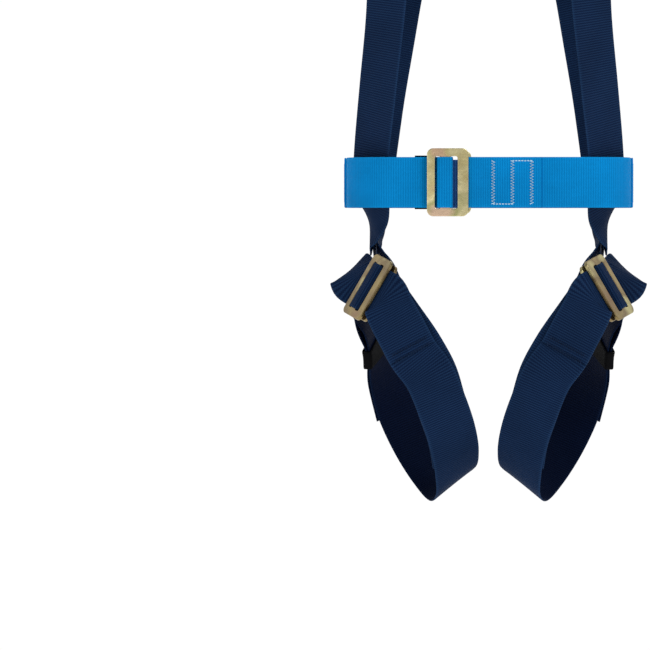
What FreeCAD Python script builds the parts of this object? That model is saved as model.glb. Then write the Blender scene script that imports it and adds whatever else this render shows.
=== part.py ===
"""Full body safety harness.

Shoulder straps that cross at a dorsal ring, a chest strap, a waist belt and two leg loops.

Frame: millimetres, +Z up along the wearer's spine, +X to the wearer's left, and the wearer faces -Y.
The origin is the centre of the wearer's waist, at half the height of the waist belt.
"left" and "right" are the wearer's.
Every strap is one length of webbing: a flat ribbon that follows a line of stations. A station is a
point on the ribbon's centre line and the direction of its width there.
"""
import FreeCAD
import Part
import math
import os

V = FreeCAD.Vector

# ---- webbing ----
WEB_W = 44.0            # width of all load-bearing webbing
WEB_T = 1.6             # its thickness
STEP = 11.0             # longest stretch of ribbon between two sections
SMALL_STEP = 1.3        # the same where webbing wraps a bar
LAYER = 2.05            # from one layer's mid-plane to the next, where layers are sewn together

# ---- waist belt, seen from above ----
BELT_HALF = 126.0       # half the belt's outside width
BELT_FRONT = -86.0      # where the front of the belt lies
FRONT_CORNER_R = 42.0
REAR_R = 200.0          # radius of the broad rear arc
REAR_Y = 85.0           # where the rear of the belt lies
REAR_ARC_X = 95.0       # the rear arc ends this far out
SIDE_SEAM_Y = -40.0     # front end of the rear piece, on the wearer's sides
SIDE_LAP_Y = -4.0       # rear end of the two front pieces

# ---- pass-through buckle, in its own frame ----
# p runs across the buckle towards the sewn strap, q outwards from the wearer, and r along the bars.
PLATE_T = 3.0
PLATE_CORNER_R = 5.5
EDGE_R = 0.7
SLOT_H = 45.2           # height of every opening
SLIDER = {"p": (-18.0, 18.0), "r": 59.0, "q": 8.1}
SLIDER_BAR = (-6.4, 2.2)            # the middle bar, that the strap's loose end goes over
SLIDER_OPEN = (-11.0, 8.5)
RING = {"p": (-15.5, 20.3), "r": 55.0, "q": 2.7}
RING_OPEN = (-11.0, 13.9)
BELT_BUCKLE_X = -35.3               # the slider's middle
CHEST_BUCKLE_X = -14.0
CHEST_Y = -106.0
CHEST_Z = 300.0

# ---- leg buckles: where the slider's middle is on the left side, and how it is turned ----
LEG_BUCKLE = V(99, -66, -95)
LEG_P = V(-0.43, -0.875, -0.21)
LEG_R = V(0.52, 0, -0.855)
LEG_LAP_SHIFT = 3.0     # how far the leg strap and the thigh strap behind it lie off one line

# ---- dorsal ring and its pad ----
CROSS_Z = 400.0         # where the shoulder straps cross
CROSS_TILT = math.radians(27)
CROSS_LIFT = 3.4        # how much further out the strap on top runs
PAD_Y = (98.0, 102.0)
PAD_HALF = (58.0, 78.0)
PAD_CUT = 26.0          # size of the pad's cut corners
PAD_SLOT_T = 63.0       # from the crossing to each slot, along the strap
PAD_SLOT = (47.5, 11.0)
WIRE_R = 4.2            # the ring's wire
RING_BAR_Y = 107.0
RING_HALF = 34.5        # from the middle of the ring to the middle of its side
RING_BEND_R = 9.0
RING_REACH = 2.0        # straight way outwards between the ring's two bends
RING_DROP = 22.0        # straight sides of the D
RING_LEAN = 24.0        # degrees that the hanging ring leans away from the back

# ---- keepers ----
KEEPER_T = 1.0
KEEPER_W = 16.0
BELT_KEEPER_X = (-64.0, -53.5)
CHEST_KEEPER_X = (-50.5, -40.5)

# ---- stitching ----
THREAD_T = 0.35         # how far a bar tack stands up
TACK_W = 2.6
TACK_H = 33.0

OUT = "parts"


# ---------------------------------------------------------------- ribbons
def unit(v):
    return v * (1.0 / v.Length)


def catmull(points, values, k, s):
    """The value at share s of span k on a smooth curve, paced by the distances between the points."""
    last = len(points) - 1
    ids = [max(k - 1, 0), k, k + 1, min(k + 2, last)]
    p = [points[i] for i in ids]
    v = [values[i] for i in ids]
    gap = [max((p[i + 1] - p[i]).Length, 1e-6) for i in range(3)]
    if k == 0:
        gap[0] = gap[1]
    if k + 1 == last:
        gap[2] = gap[1]
    before = v[0] if k > 0 else v[1] - (v[2] - v[1])
    after = v[3] if k + 1 < last else v[2] + (v[2] - v[1])
    m1 = ((v[2] - v[1]) * (gap[0] / gap[1]) + (v[1] - before) * (gap[1] / gap[0])) * (1 / (gap[0] + gap[1]))
    m2 = ((after - v[2]) * (gap[1] / gap[2]) + (v[2] - v[1]) * (gap[2] / gap[1])) * (1 / (gap[1] + gap[2]))
    m1, m2 = m1 * gap[1], m2 * gap[1]
    s2, s3 = s * s, s * s * s
    return v[1] * (2 * s3 - 3 * s2 + 1) + m1 * (s3 - 2 * s2 + s) + v[2] * (3 * s2 - 2 * s3) + m2 * (s3 - s2)


def sections(stations, step, starts=None):
    """Evenly paced (centre, width direction) pairs along the smooth line through the stations."""
    points = [p for p, _ in stations]
    widths = [unit(w) for _, w in stations]
    made = []
    for k in range(len(points) - 1):
        if starts is not None:
            starts.append(len(made))
        n = max(1, math.ceil((points[k + 1] - points[k]).Length / step))
        for i in range(n):
            made.append((catmull(points, points, k, i / n), catmull(points, widths, k, i / n)))
    made.append((points[-1], widths[-1]))
    return made


def ribbons(stations, cuts, step=STEP):
    """A length of webbing along the stations, as solids that meet face to face at the stations in cuts."""
    starts = []
    line = sections(stations, step, starts)
    wires = []
    for i, (centre, w) in enumerate(line):
        ahead = unit(line[min(i + 1, len(line) - 1)][0] - line[max(i - 1, 0)][0])
        across = unit(w - ahead * w.dot(ahead)) * (WEB_W / 2)
        out = unit(ahead.cross(across)) * (WEB_T / 2)
        corners = [centre + across + out, centre - across + out, centre - across - out, centre + across - out]
        wires.append(Part.makePolygon(corners + corners[:1]))
    ends = [0] + [starts[k] for k in cuts] + [len(line) - 1]
    solids = [Part.makeLoft(wires[a:b + 1], True, True) for a, b in zip(ends, ends[1:])]
    for solid in solids:
        if solid.Volume < 0:
            solid.reverse()
    return solids


def ribbon(stations, step=STEP):
    return ribbons(stations, [], step)[0]


def flat(points, z=0.0):
    """Stations for webbing that stands on edge, from points seen from above."""
    return [(V(x, y, z), V(0, 0, 1)) for x, y in points]


def arc(centre, radius, start, end, n):
    """n + 1 points on an arc, angles in degrees."""
    turn = [math.radians(start + (end - start) * i / n) for i in range(n + 1)]
    return [(centre[0] + radius * math.cos(a), centre[1] + radius * math.sin(a)) for a in turn]


def shifted(stations, out, along=0.0):
    """The stations moved out of the webbing's plane, and along its width."""
    moved = []
    for i, (p, w) in enumerate(stations):
        ahead = unit(stations[min(i + 1, len(stations) - 1)][0] - stations[max(i - 1, 0)][0])
        across = unit(w - ahead * w.dot(ahead))
        moved.append((p + ahead.cross(across) * out + across * along, w))
    return moved


# ---------------------------------------------------------------- buckles
class Place:
    """A buckle's own frame: p across it, r along its bars, and q outwards from the wearer."""

    def __init__(self, origin, p, r):
        self.origin = origin
        self.p = unit(p)
        self.r = unit(r - self.p * r.dot(self.p))
        self.q = self.p.cross(self.r)

    def at(self, p, q, r=0.0):
        return self.origin + self.p * p + self.q * q + self.r * r

    def stations(self, pairs):
        return [(self.at(p, q), self.r) for p, q in pairs]

    def solid(self, shape):
        """Moves a shape drawn with p, r and q as X, Y and Z into the frame."""
        return shape.transformed(FreeCAD.Matrix(
            self.p.x, self.r.x, self.q.x, self.origin.x,
            self.p.y, self.r.y, self.q.y, self.origin.y,
            self.p.z, self.r.z, self.q.z, self.origin.z))


def slab(x0, x1, half, z0, z1, corner):
    """A plate from x0 to x1 and -half to half, with round corners."""
    box = Part.makeBox(x1 - x0, 2 * half, z1 - z0, V(x0, -half, z0))
    upright = [e for e in box.Edges if abs(e.tangentAt(e.FirstParameter).z) > 0.99]
    return box.makeFillet(corner, upright)


def softened(solid, radius):
    """The solid with the rims of its two faces rounded."""
    flat_faces = [f for f in solid.Faces if abs(f.normalAt(0, 0).z) > 0.99]
    rims = [e for f in flat_faces for e in f.Edges]
    return solid.makeFillet(radius, rims)


def plate(place, size, openings):
    """A stamped buckle plate with its openings."""
    z0, z1 = size["q"] - PLATE_T / 2, size["q"] + PLATE_T / 2
    body = slab(*size["p"], size["r"] / 2, z0, z1, PLATE_CORNER_R)
    for x0, x1 in openings:
        body = body.cut(slab(x0, x1, SLOT_H / 2, z0 - 1, z1 + 1, 1.6))
    return place.solid(softened(body, EDGE_R))


def slider(place):
    """The buckle's front plate, with the bar that the loose strap goes over."""
    return plate(place, SLIDER, [(SLIDER_OPEN[0], SLIDER_BAR[0]), (SLIDER_BAR[1], SLIDER_OPEN[1])])


def ring(place):
    """The buckle's rear plate, sewn to the other strap; the slider has been passed through it."""
    return plate(place, RING, [RING_OPEN])


# The strap's way over the slider's middle bar, as (p, q): in along q 0, over the bar, and out behind.
OVER_BAR = [
    (-30, 0), (-20, 0), (-13.5, 0), (-11.3, 0.05), (-9.6, 0.9), (-8.75, 2.8), (-8.7, 5.5),
    (-8.65, 8.4), (-8.0, 10.1), (-6.2, 10.75), (-2.2, 10.8), (1.6, 10.75), (3.2, 10.1),
    (3.75, 8.4), (3.8, 5.0), (3.7, 1.4), (3.1, -0.9), (1.2, -2.15), (-2.0, -2.3), (-12, -2.3),
    (-22, -2.3), (-30, -2.3),
]
# The sewn strap's way round the ring's outer bar: in behind it, round, and back in front.
ROUND_RING = [(34, 0), (22, 0), (16, -0.05), (13.8, 0.0), (12.5, 0.9), (12.1, 2.7), (12.5, 4.5), (13.8, 5.4),
              (16, 5.45), (21, 5.3), (26, 3.7), (32, 2.15), (38, LAYER)]


# ---------------------------------------------------------------- waist belt
def belt_corners():
    """The belt's outline on the wearer's left: where the rear corner's arc is centred, and its radius."""
    slope = REAR_ARC_X / REAR_R
    radius = (BELT_HALF - REAR_ARC_X) / (1 - slope)
    y = REAR_Y - REAR_R + math.sqrt(REAR_R ** 2 - REAR_ARC_X ** 2)
    centre = (BELT_HALF - radius, y - radius * math.sqrt(1 - slope ** 2))
    return centre, radius


def belt_rear():
    centre, radius = belt_corners()
    sweep = math.degrees(math.asin(REAR_ARC_X / REAR_R))
    left = [(BELT_HALF, SIDE_SEAM_Y), (BELT_HALF, (SIDE_SEAM_Y + centre[1]) / 2)]
    left += arc(centre, radius, 0, 90 - sweep, 7)
    left += arc((0, REAR_Y - REAR_R), REAR_R, 90 - sweep, 90, 5)[1:]
    right = [(-x, y) for x, y in reversed(left[:-1])]
    return ribbon(flat(left + right))


def front_corner(side):
    """The front pieces' way from the side seam to the front, inside the rear piece."""
    inner = FRONT_CORNER_R - LAYER
    x = BELT_HALF - FRONT_CORNER_R
    y = BELT_FRONT + inner
    way = [(x + inner, SIDE_LAP_Y), (x + inner, (SIDE_LAP_Y + y) / 2)] + arc((x, y), inner, 0, -90, 8)
    return [(side * px, py) for px, py in way]


BELT_PLACE = Place(V(BELT_BUCKLE_X, BELT_FRONT, 0), V(1, 0, 0), V(0, 0, 1))
BELT_LAP_END = 46.0     # the sewn lap's cut end
BELT_TAIL_END = -103.0  # where the loose end stops, inside the belt


def belt_front_loose():
    """The adjustable piece: side seam, front, over the slider's bar and back inside the belt."""
    tail_y = BELT_FRONT + 2.3
    ends = flat([(-72, tail_y), (-80, tail_y), (-90, tail_y + 1.0), (BELT_TAIL_END, tail_y + 6.0)])
    return ribbon(flat(front_corner(-1)) + BELT_PLACE.stations(OVER_BAR) + ends, SMALL_STEP * 3)


def belt_front_sewn():
    """The fixed piece: side seam, front, round the ring's bar and back over itself."""
    way = flat(front_corner(1)) + BELT_PLACE.stations(ROUND_RING)
    return ribbon(way + flat([(20, BELT_FRONT - LAYER), (BELT_LAP_END, BELT_FRONT - LAYER)]), SMALL_STEP * 3)


# ---------------------------------------------------------------- shoulder straps
def cross(t, y, k):
    """A station near the crossing, t along the strap that runs over shoulder k (1 left, -1 right)."""
    along = V(k * math.sin(CROSS_TILT), 0, math.cos(CROSS_TILT))
    return (V(0, y, CROSS_Z) + along * t, V(math.cos(CROSS_TILT), 0, -k * math.sin(CROSS_TILT)))


# From the left hip up the front and over the shoulder.
FRONT_WAY = [
    (V(103.5, -21.0, -61), V(0, 1, 0)),
    (V(103.6, -22.5, -52), V(0, 1, 0)),
    (V(103.9, -29.0, -43), V(0, 1, 0)),
    (V(103.8, -40.0, -33), V(0.30, 0.95, 0)),
    (V(103.2, -54.0, -19), V(0.68, 0.73, 0)),
    (V(103.6, -62.6, -1), V(0.72, 0.69, 0)),
    (V(102.2, -65.6, 24), V(0.71, 0.70, 0)),
    (V(96.5, -77.0, 80), V(0.74, 0.67, 0)),
    (V(88.5, -88.0, 160), V(0.79, 0.61, 0)),
    (V(86.3, -96.5, 230), V(0.90, 0.43, 0)),
    (V(86.0, -99.6, 272), V(0.95, 0.31, 0)),
    (V(86.0, -100, 300), V(0.95, 0.31, 0)),
    (V(85.8, -99.6, 328), V(0.95, 0.31, 0)),
    (V(84.5, -97, 385), V(0.97, 0.24, 0)),
    (V(82.0, -86, 440), V(0.98, 0.16, 0.03)),
    (V(80.0, -62, 488), V(0.99, 0.10, 0.04)),
    (V(78.0, -25, 514), V(0.99, 0.04, -0.05)),
    (V(73.0, 18, 519), V(0.97, -0.06, -0.18)),
    (V(63.0, 55, 506), V(0.93, -0.20, -0.30)),
    (V(50.0, 78, 487), V(0.90, -0.20, -0.40)),
]

# From the crossing down the back to the left hip.
REAR_WAY = [
    (V(49.0, 91.5, 303), V(0.94, -0.16, 0.30)),
    (V(66.0, 88.5, 245), V(0.95, -0.22, 0.20)),
    (V(78.0, 83.5, 190), V(0.95, -0.28, 0.12)),
    (V(88.0, 73.0, 130), V(0.93, -0.36, 0.06)),
    (V(96.5, 60.0, 70), V(0.86, -0.50, 0.03)),
    (V(100.5, 49.5, 24), V(0.77, -0.64, 0)),
    (V(102.0, 47.0, 0), V(0.74, -0.67, 0)),
    (V(104.5, 37.0, -20), V(0.55, -0.80, 0.22)),
    (V(103.0, 18.0, -35), V(0.22, -0.93, 0.30)),
    (V(100.9, -1.0, -45), V(0.02, -0.94, 0.32)),
    (V(101.0, -15.0, -55), V(0, -0.98, 0.14)),
    (V(101.0, -18.0, -64), V(0, -1, 0.05)),
]

HIP_CUT = 5             # stations from each end of a shoulder strap to the belt
SHOULDER_CUT = 14       # station at the front of the shoulder

# The strap's height above the pad near the crossing.
CROSSING = [(84, 88.5), (74, 92.3), (PAD_SLOT_T, 100.0), (53, 107.0), (42, 110.6), (28, 112.6), (14, 113.0)]


def on_side(stations, k):
    """Stations drawn for the left side, for side k, still running the same way across their width."""
    return [(V(k * p.x, p.y, p.z), V(w.x, k * w.y, k * w.z)) for p, w in stations]


def shoulder_strap(k):
    """One strap: from the hip up the front, over shoulder k, through the pad and down to the other hip.

    It comes as six solids: hip, front, over the shoulder, crossing, rear, and the other hip."""
    lift = CROSS_LIFT if k > 0 else 0.0
    upper = [cross(t, y + (lift if t < PAD_SLOT_T else 0), k) for t, y in CROSSING]
    lower = [cross(-t, y + (lift if t < PAD_SLOT_T else 0), k) for t, y in reversed(CROSSING)]
    way = on_side(FRONT_WAY, k) + upper + lower + on_side(REAR_WAY, -k)
    return ribbons(way, [HIP_CUT, SHOULDER_CUT, len(FRONT_WAY), len(way) - len(REAR_WAY), len(way) - HIP_CUT])


def dorsal_pad():
    """The pad that holds the crossing: an eight-sided plate with a slot for each of the four straps."""
    hx, hz = PAD_HALF
    outline = [(-hx, PAD_CUT - hz), (PAD_CUT - hx, -hz), (hx - PAD_CUT, -hz), (hx, PAD_CUT - hz),
               (hx, hz - PAD_CUT), (hx - PAD_CUT, hz), (PAD_CUT - hx, hz), (-hx, hz - PAD_CUT)]
    corners = [V(x, PAD_Y[0], CROSS_Z + z) for x, z in outline]
    body = Part.Face(Part.makePolygon(corners + corners[:1])).extrude(V(0, PAD_Y[1] - PAD_Y[0], 0))
    upright = [e for e in body.Edges if abs(e.tangentAt(e.FirstParameter).y) > 0.99]
    body = body.makeFillet(12, upright)
    length, gap = PAD_SLOT
    for k in (1, -1):
        for t in (PAD_SLOT_T, -PAD_SLOT_T):
            middle, w = cross(t, 0, k)
            ends = [middle + w * s for s in (gap / 2 - length / 2, length / 2 - gap / 2)]
            bar = Part.makeCylinder(gap / 2, 20, ends[0] + V(0, 90, 0), V(0, 1, 0))
            bar = bar.fuse(Part.makeCylinder(gap / 2, 20, ends[1] + V(0, 90, 0), V(0, 1, 0)))
            edge = w.cross(V(0, 1, 0)) * (gap / 2)
            quad = [ends[0] + edge, ends[1] + edge, ends[1] - edge, ends[0] - edge]
            quad = [V(v.x, 90, v.z) for v in quad]
            body = body.cut(bar.fuse(Part.Face(Part.makePolygon(quad + quad[:1])).extrude(V(0, 20, 0))))
    return body


def dorsal_ring():
    """The D: a bar under the crossing, sides that step out round the straps, and a bow that hangs down."""
    bend, lean = RING_BEND_R, math.radians(RING_LEAN)
    down = V(0, math.sin(lean), -math.cos(lean))
    out = V(0, 1, 0)
    start = V(0, RING_BAR_Y, CROSS_Z)
    bar_end = start + V(RING_HALF - bend, 0, 0)
    side = bar_end + V(bend, bend, 0)
    turn = side + out * RING_REACH
    centre = turn - V(0, 0, bend)

    def on_turn(angle):
        return centre + V(0, math.sin(angle), math.cos(angle)) * bend

    full = math.pi / 2 - lean
    leg = on_turn(full)
    foot = leg + down * RING_DROP
    middle = foot - V(RING_HALF, 0, 0)
    knee = middle + V(RING_HALF * math.sqrt(0.5), 0, 0) + down * (RING_HALF * math.sqrt(0.5))
    elbow = bar_end + V(bend * math.sqrt(0.5), bend * (1 - math.sqrt(0.5)), 0)
    path = [
        Part.makeLine(start, bar_end), Part.Arc(bar_end, elbow, side).toShape(), Part.makeLine(side, turn),
        Part.Arc(turn, on_turn(full / 2), leg).toShape(), Part.makeLine(leg, foot),
        Part.Arc(foot, knee, middle + down * RING_HALF).toShape(),
    ]
    profile = Part.Wire(Part.makeCircle(WIRE_R, start, V(1, 0, 0)))
    half = Part.Wire(path).makePipeShell([profile], True, False)
    return half.fuse(half.mirror(V(0, 0, 0), V(1, 0, 0))).removeSplitter()


# ---------------------------------------------------------------- chest strap
CHEST_PLACE = Place(V(CHEST_BUCKLE_X, CHEST_Y, CHEST_Z), V(1, 0, 0), V(0, 0, 1))
# the chest strap passes over the shoulder strap here
CHEST_END = [(106.0, -97.0), (87.0, -103.1), (70.0, -108.6), (62.0, -109.2), (53.0, -106.9)]


def chest_loose():
    """The adjustable half: from the right shoulder strap over the slider's bar and back inside itself."""
    way = flat([(-x, y) for x, y in CHEST_END], CHEST_Z) + CHEST_PLACE.stations(OVER_BAR)
    return ribbon(way + flat([(-52, CHEST_Y + 2.4), (-60, CHEST_Y + 2.9)], CHEST_Z), SMALL_STEP * 3)


def chest_sewn():
    """The fixed half: from the left shoulder strap round the ring's bar and back over itself."""
    way = flat(CHEST_END, CHEST_Z) + CHEST_PLACE.stations(ROUND_RING)
    return ribbon(way + flat([(36, CHEST_Y - LAYER)], CHEST_Z), SMALL_STEP * 3)


# ---------------------------------------------------------------- leg loops
LEG_PLACE = Place(LEG_BUCKLE, LEG_P, LEG_R)

# The front of the left loop, from the ring down to the crotch.
LEG_FRONT = [
    (V(82.0, -95.0, -110), V(0.60, -0.02, -0.80)),
    (V(73.0, -100.5, -127), V(0.72, -0.02, -0.69)),
    (V(63.0, -101.5, -146), V(0.80, -0.02, -0.60)),
    (V(52.0, -100.0, -166), V(0.84, -0.02, -0.54)),
    (V(40.0, -92.0, -194), V(0.87, -0.05, -0.49)),
    (V(31.5, -79.0, -220), V(0.86, -0.10, -0.50)),
    (V(27.5, -62.5, -244), V(0.82, -0.12, -0.56)),
    (V(28.5, -43.0, -261), V(0.78, -0.15, -0.60)),
]

# The rear of the left loop, from the crotch up to the slider.
LEG_REAR = [
    (V(35.0, -21.0, -267.5), V(0.76, -0.20, -0.60)),
    (V(47.5, 2.0, -257), V(0.79, -0.30, -0.50)),
    (V(65.0, 20.0, -234), V(0.85, -0.42, -0.30)),
    (V(81.0, 27.0, -204), V(0.80, -0.56, -0.20)),
    (V(92.5, 22.0, -172), V(0.60, -0.77, -0.20)),
    (V(99.5, 8.0, -142), V(0.32, -0.92, -0.22)),
    (V(104.5, -6.0, -120), V(0.30, -0.88, -0.36)),
]
LEG_RISE = [
    (V(109.5, -20.0, -106), V(0.38, -0.70, -0.60)),
    (V(111.3, -32.0, -96), V(0.46, -0.38, -0.80)),
]
LAP_STATIONS = 3        # how many front stations the sewn lap covers
TAIL_WAY = [(6, 6.0), (5, 2.8), (4, 2.8), (3, 4.0)]     # rear stations under the loose end, and how far out


def leg_strap():
    """The left leg strap: sewn lap, ring, front, crotch, rear, over the slider's bar, and the loose end.

    It comes as five solids: front with the lap, crotch, rear, the turn over the bar, and the loose end."""
    front = LEG_FRONT[:LAP_STATIONS + 1]
    lap = shifted(front, LAYER, LEG_LAP_SHIFT)[:LAP_STATIONS]
    ring_way = LEG_PLACE.stations([(p, q) for p, q in reversed(ROUND_RING) if p < 28])
    bar_way = LEG_PLACE.stations([(p, q) for p, q in reversed(OVER_BAR) if p > -25])
    loop = shifted(front, 0, LEG_LAP_SHIFT)[:LAP_STATIONS] + LEG_FRONT[LAP_STATIONS:] + LEG_REAR + LEG_RISE
    fold = [
        (LEG_PLACE.at(-27, 0.9), LEG_PLACE.r),
        (LEG_PLACE.at(-35, 5.0), V(0.54, -0.20, -0.80)),
        (V(120.5, -28.5, -78.5), V(0.60, -0.46, -0.62)),
        (V(121.8, -22.5, -77.5), V(0.62, -0.52, -0.55)),
        (V(121.0, -17.0, -81.0), V(0.60, -0.58, -0.50)),
        (V(117.0, -11.5, -93.0), V(0.50, -0.74, -0.42)),
        (V(111.8, -7.0, -107.0), V(0.38, -0.84, -0.38)),
    ]
    tail = [shifted(LEG_REAR, out)[i] for i, out in TAIL_WAY]
    way = list(reversed(lap)) + ring_way + loop + bar_way + fold + tail
    front_end = len(lap) + len(ring_way) + len(LEG_FRONT)
    rear_end = front_end + len(LEG_REAR) - 1
    turn_end = rear_end + len(LEG_RISE) + len(bar_way)
    return ribbons(way, [front_end - 3, front_end, rear_end, turn_end], SMALL_STEP * 4)


def thigh_strap():
    """The inner strap of the left loop: from the hip joint, behind the buckle, to the crotch."""
    top = [
        (V(98.2, -20.5, -45), V(0, 1, 0)),
        (V(98.0, -22.0, -57), V(0.02, 1, -0.12)),
        (V(94.3, -31.0, -74), V(0.12, 0.80, -0.60)),
        (V(90.0, -47.0, -89), V(0.34, 0.45, -0.83)),
        (V(87.0, -69.0, -104), V(0.52, 0.05, -0.85)),
        (V(80.0, -86.5, -116), V(0.64, 0, -0.76)),
    ]
    upper = shifted(LEG_FRONT, -LAYER, -LEG_LAP_SHIFT)[2:4]
    return ribbon(top + upper + shifted(LEG_FRONT, -LAYER - 0.4)[4:-1])


def leg_keeper():
    """A dark elastic sleeve round the rear of the left loop and the loose end."""
    centre, w = LEG_REAR[-2]
    ahead = LEG_REAR[-1][0] - LEG_REAR[-3][0]
    place = Place(centre, ahead, w)
    half = WEB_W / 2 + 2.0
    inner, outer = -WEB_T / 2 - 1.4, TAIL_WAY[1][1] + WEB_T / 2 + 2.0

    def box(grow, longer):
        length = KEEPER_W + 2 * longer
        return Part.makeBox(length, 2 * (half + grow), outer - inner + 2 * grow,
                            V(-length / 2, -half - grow, inner - grow))

    return place.solid(box(KEEPER_T, 0).cut(box(0, 1)))


# ---------------------------------------------------------------- keepers and stitching
def belt_keeper():
    """A dark elastic band over the belt's loose end, open to the front and sewn to the belt's edges."""
    x0, x1 = BELT_KEEPER_X
    back = BELT_FRONT + 2.3 + WEB_T / 2 + 0.4
    front = BELT_FRONT + WEB_T / 2 + 0.1
    half = WEB_W / 2 + 0.3
    corner = V(x0, front, -half - KEEPER_T)
    body = Part.makeBox(x1 - x0, back + KEEPER_T - front, 2 * (half + KEEPER_T), corner)
    return body.cut(Part.makeBox(x1 - x0 + 2, back - front + 1, 2 * half, V(x0 - 1, front - 1, -half)))


def chest_keeper():
    """A dark elastic sleeve round both layers of the chest strap's adjustable half."""
    x0, x1 = CHEST_KEEPER_X
    front, back = CHEST_Y - WEB_T / 2 - 1.6, CHEST_Y + 2.5 + WEB_T / 2 + 0.5
    half = WEB_W / 2 + 0.5
    outer = Part.makeBox(x1 - x0, back - front + 2 * KEEPER_T, 2 * (half + KEEPER_T),
                         V(x0, front - KEEPER_T, CHEST_Z - half - KEEPER_T))
    return outer.cut(Part.makeBox(x1 - x0 + 2, back - front, 2 * half, V(x0 - 1, front, CHEST_Z - half)))


def tacks(place, ps, q, height=TACK_H):
    """Upright bar tacks standing on a strap's outer face."""
    corners = [V(p - TACK_W / 2, -height / 2, q) for p in ps]
    return [place.solid(Part.makeBox(TACK_W, height, THREAD_T, corner)) for corner in corners]


def place_on(stations, i, out):
    """A frame on a strap at station i, with q along the webbing's normal."""
    centre, w = stations[i]
    ahead = stations[min(i + 1, len(stations) - 1)][0] - stations[max(i - 1, 0)][0]
    place = Place(centre, ahead, w)
    return Place(centre + place.q * out, place.p, place.r)


def belt_stitching():
    return Part.makeCompound(tacks(BELT_PLACE, (39.3, 56.0, 72.7), LAYER + WEB_T / 2 + 0.15))


def chest_stitching():
    return Part.makeCompound(tacks(CHEST_PLACE, (34.0, 42.0), LAYER + WEB_T / 2 + 0.15))


def leg_stitching():
    """Tacks through the lap, on its outer face."""
    lap = shifted(LEG_FRONT[:LAP_STATIONS + 1], LAYER, LEG_LAP_SHIFT)
    place = place_on(lap, 2, WEB_T / 2 + 0.3)
    return Part.makeCompound(tacks(place, (-6.0, 0.0), 0))


def side_stitching():
    """Tacks through the belt's side seam, on the outer face."""
    place = Place(V(BELT_HALF + WEB_T / 2 + 0.15, 0, 0), V(0, 1, 0), V(0, 0, 1))
    return Part.makeCompound(tacks(place, (-36.0, -26.0, -16.0, -6.0), 0))


def mirror(shape):
    return shape.mirror(V(0, 0, 0), V(1, 0, 0))


def build():
    nodes = {
        "belt_rear_strap": belt_rear(),
        "belt_loose_strap": belt_front_loose(),
        "belt_sewn_strap": belt_front_sewn(),
        "belt_slider": slider(BELT_PLACE),
        "belt_ring": ring(BELT_PLACE),
        "belt_keeper": belt_keeper(),
        "belt_stitching": belt_stitching(),
        "dorsal_pad": dorsal_pad(),
        "dorsal_ring": dorsal_ring(),
        "chest_loose_strap": chest_loose(),
        "chest_sewn_strap": chest_sewn(),
        "chest_slider": slider(CHEST_PLACE),
        "chest_ring": ring(CHEST_PLACE),
        "chest_keeper": chest_keeper(),
        "chest_stitching": chest_stitching(),
    }
    one_side = {
        "thigh_strap": thigh_strap(),
        "leg_slider": slider(LEG_PLACE),
        "leg_ring": ring(LEG_PLACE),
        "leg_keeper": leg_keeper(),
        "leg_stitching": leg_stitching(),
        "side_stitching": side_stitching(),
    }
    one_side.update(zip(("leg_front", "leg_crotch", "leg_rear", "leg_turn", "leg_tail"), leg_strap()))
    for name, shape in one_side.items():
        nodes[name + "_left"] = shape
        nodes[name + "_right"] = mirror(shape)
    lengths = ("hip_front", "shoulder_front", "shoulder_top",
               "shoulder_crossing", "shoulder_rear", "hip_rear")
    for k, side in ((1, "_left"), (-1, "_right")):
        for name, shape in zip(lengths, shoulder_strap(k)):
            nodes[name + side] = shape
    return nodes


os.makedirs(OUT, exist_ok=True)
for node, shape in build().items():
    if not shape.isValid():
        raise ValueError(node + " is not a valid solid")
    shape.exportStep(os.path.join(OUT, node + ".step"))
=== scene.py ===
"""Looks for the full body safety harness: woven webbing, plated buckles, elastic keepers and sewn thread.

Lengths are worked out in millimetres, as the straps' stations are, and meshes are made in metres.
"""

import math

import bpy
import bmesh
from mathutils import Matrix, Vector


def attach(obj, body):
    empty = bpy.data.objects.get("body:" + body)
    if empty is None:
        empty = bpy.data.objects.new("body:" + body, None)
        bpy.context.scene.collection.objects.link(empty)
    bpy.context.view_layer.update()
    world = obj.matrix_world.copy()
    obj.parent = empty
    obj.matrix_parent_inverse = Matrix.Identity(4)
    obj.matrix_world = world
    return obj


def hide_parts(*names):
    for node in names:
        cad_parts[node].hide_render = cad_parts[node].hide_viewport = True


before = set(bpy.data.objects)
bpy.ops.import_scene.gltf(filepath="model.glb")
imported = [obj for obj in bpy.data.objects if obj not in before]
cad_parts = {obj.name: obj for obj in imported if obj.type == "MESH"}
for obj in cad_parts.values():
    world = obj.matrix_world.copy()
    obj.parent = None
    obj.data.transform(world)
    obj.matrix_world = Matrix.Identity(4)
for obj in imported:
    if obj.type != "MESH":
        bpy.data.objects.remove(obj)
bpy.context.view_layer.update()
MM = 0.001


def V(x, y, z):
    return Vector((x, y, z))


WEB_W = 44.0            # width of all load-bearing webbing
WEB_T = 1.6             # its thickness
LAYER = 2.05            # from one layer's mid-plane to the next, where layers are sewn together

# ---- waist belt, seen from above ----
BELT_HALF = 126.0       # half the belt's outside width
BELT_FRONT = -86.0      # where the front of the belt lies
FRONT_CORNER_R = 42.0
REAR_R = 200.0          # radius of the broad rear arc
REAR_Y = 85.0           # where the rear of the belt lies
REAR_ARC_X = 95.0       # the rear arc ends this far out
SIDE_SEAM_Y = -40.0     # front end of the rear piece, on the wearer's sides
SIDE_LAP_Y = -4.0       # rear end of the two front pieces


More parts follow.
